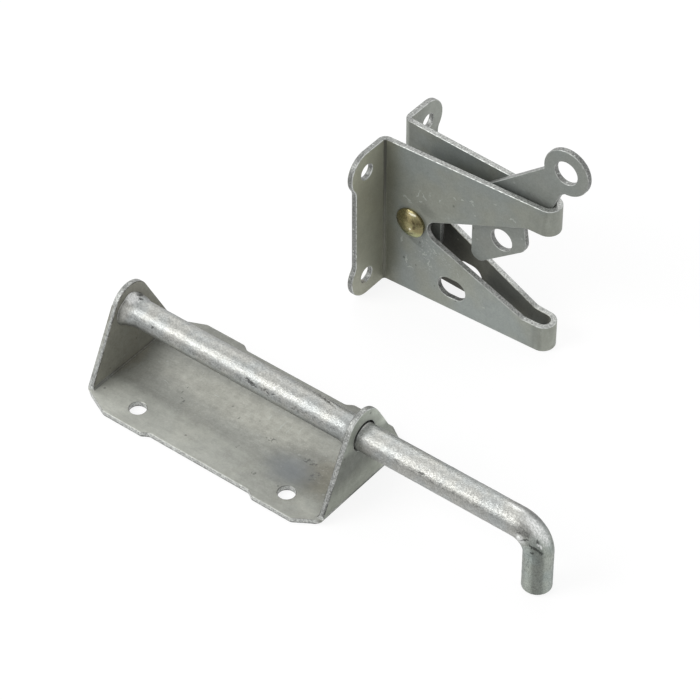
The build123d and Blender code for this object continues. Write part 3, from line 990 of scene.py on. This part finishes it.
def collar_height(along, angle):
    """Height of the ragged edge of zinc outside the right ear, over the bar's upper half."""
    beyond = (along - COLLAR_START) / COLLAR_LENGTH
    if not 0 <= beyond < 1:
        return 0.0
    ragged = noise.noise(Vector((3.0 * math.cos(angle), 3.0 * math.sin(angle), 4.0)))
    raised = max(0.0, math.sin(angle + 0.3)) * (0.75 + 0.7 * ragged)
    return COLLAR_RISE * (1 - beyond) ** 2 * raised


def bar_radius_at(along, angle, to_end):
    """Radius of the bar's surface: chamfered ends, flares at the ears, shallow zinc lumps."""
    radius = BAR_RADIUS
    radius -= max(0.0, BAR_CHAMFER - (along - BAR_START))
    radius -= max(0.0, BAR_CHAMFER - to_end)
    radius = flared(radius, along, angle)
    place = Vector((along * 0.85, radius * math.cos(angle), radius * math.sin(angle)))
    lumps = noise.fractal(place, 1.0, 2.0, 3)
    waves = noise.noise(place / 5.0 + Vector((9.0, 4.0, 2.0)))
    radius -= LUMP_DEPTH * (max(0.0, min(1.0, 0.5 + lumps)) + 0.5 + 0.5 * waves)
    radius += collar_height(along, angle)
    inside_left_ear = along < STAKE_FACES[0][0]
    if inside_left_ear:
        return radius
    return radius + sum(form_height(along, angle, form) for form in BAR_FORMS)


def ring_distances(length):
    """Where the bar's rings are: evenly along it, and closer at the ears and both ends."""
    gaps = (-0.02, 0.0, 0.1, 0.2, 0.35)
    close = [face - BAR_START + gap * side for face, side in STAKE_FACES for gap in gaps]
    close += [COLLAR_START - BAR_START + gap for gap in (-0.06, 0.0, 0.2, 0.45, 0.9)]
    ends = [0.2, 0.4, 0.6, length - 0.6, length - 0.4, length - 0.2, length]
    even = [RING_SPACING * i for i in range(int(length / RING_SPACING))]
    even = [d for d in even if all(abs(d - place) > RING_CLEARANCE for place in close)]
    even = [d for d in even if d == 0.0 or 0.8 < d < length - 0.8]
    return sorted(even + close + ends)


def close_end(mesh, straight, rim):
    """Closes one end of the bar with smaller rings and a small face in the middle."""
    centre = sum((vert.co for vert in rim), Vector()) / RING_POINTS
    outer = rim
    for share in (0.75, 0.5, 0.25):
        inner = []
        for edge in rim:
            new = mesh.verts.new(centre + (edge.co - centre) * share)
            along, side, over = edge[straight]
            new[straight] = Vector((along, side * share, over * share))
            inner.append(new)
        for i in range(RING_POINTS):
            j = (i + 1) % RING_POINTS
            mesh.faces.new((outer[i], outer[j], inner[j], inner[i]))
        outer = inner
    mesh.faces.new(outer)


def make_bar():
    """The striker bar's surface as close rings, so that its lumps are real shape.

    The attribute straight holds each point's place along the bar and off its middle."""
    length = BAR_LEG_X - BAR_BEND - BAR_START + math.pi / 2 * BAR_BEND + BAR_HEIGHT - BAR_BEND
    mesh = bmesh.new()
    straight = mesh.verts.layers.float_vector.new("straight")
    rings = []
    for distance in ring_distances(length):
        middle, direction = bar_line(distance)
        up = Vector((0, -1, 0)).cross(direction)
        along = BAR_START + distance
        ring = []
        for i in range(RING_POINTS):
            angle = 2 * math.pi * i / RING_POINTS
            radius = bar_radius_at(along, angle, length - distance)
            offset = Vector((0, math.cos(angle), 0)) + up * math.sin(angle)
            vert = mesh.verts.new((STRIKER + middle + offset * radius) * MM)
            vert[straight] = Vector((along, radius * math.cos(angle), radius * math.sin(angle)))
            ring.append(vert)
        rings.append(ring)
    for first, second in zip(rings, rings[1:]):
        for i in range(RING_POINTS):
            j = (i + 1) % RING_POINTS
            mesh.faces.new((first[i], first[j], second[j], second[i]))
    for rim in (rings[0], rings[-1]):
        close_end(mesh, straight, rim)
    bmesh.ops.recalc_face_normals(mesh, faces=mesh.faces)
    return link_mesh("galvanised_bar", mesh)


def dress(target, material):
    target.data.materials.clear()
    target.data.materials.append(material)


bpy.context.scene.view_settings.view_transform = "Standard"
place_camera()
make_floor()
make_world()
make_lamp("key", direction=(-0.453, -0.640, 0.620), distance=0.9, size=0.64, power=4.1)
make_lamp("second", direction=(-0.453, 0.524, 0.721), distance=0.9, size=0.8, power=1.7)

for node, material in (
    ("catch_sheet", catch_material()),
    ("latch_lever", lever_material()),
    ("pivot_rivet", rivet_material()),
    ("front_spacer", spacer_material()),
    ("rear_spacer", spacer_material()),
):
    for slot in nodes[node].material_slots:
        slot.material = material

for node in ("catch_sheet", "latch_lever"):
    round_edges(node)

bracket = rounded_bracket()
dress(bracket, bracket_material())
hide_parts("striker_bracket")
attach(bracket, "mounting")

bar = make_bar()
dress(bar, bar_material())
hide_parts("striker_bar")
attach(bar, "bar")
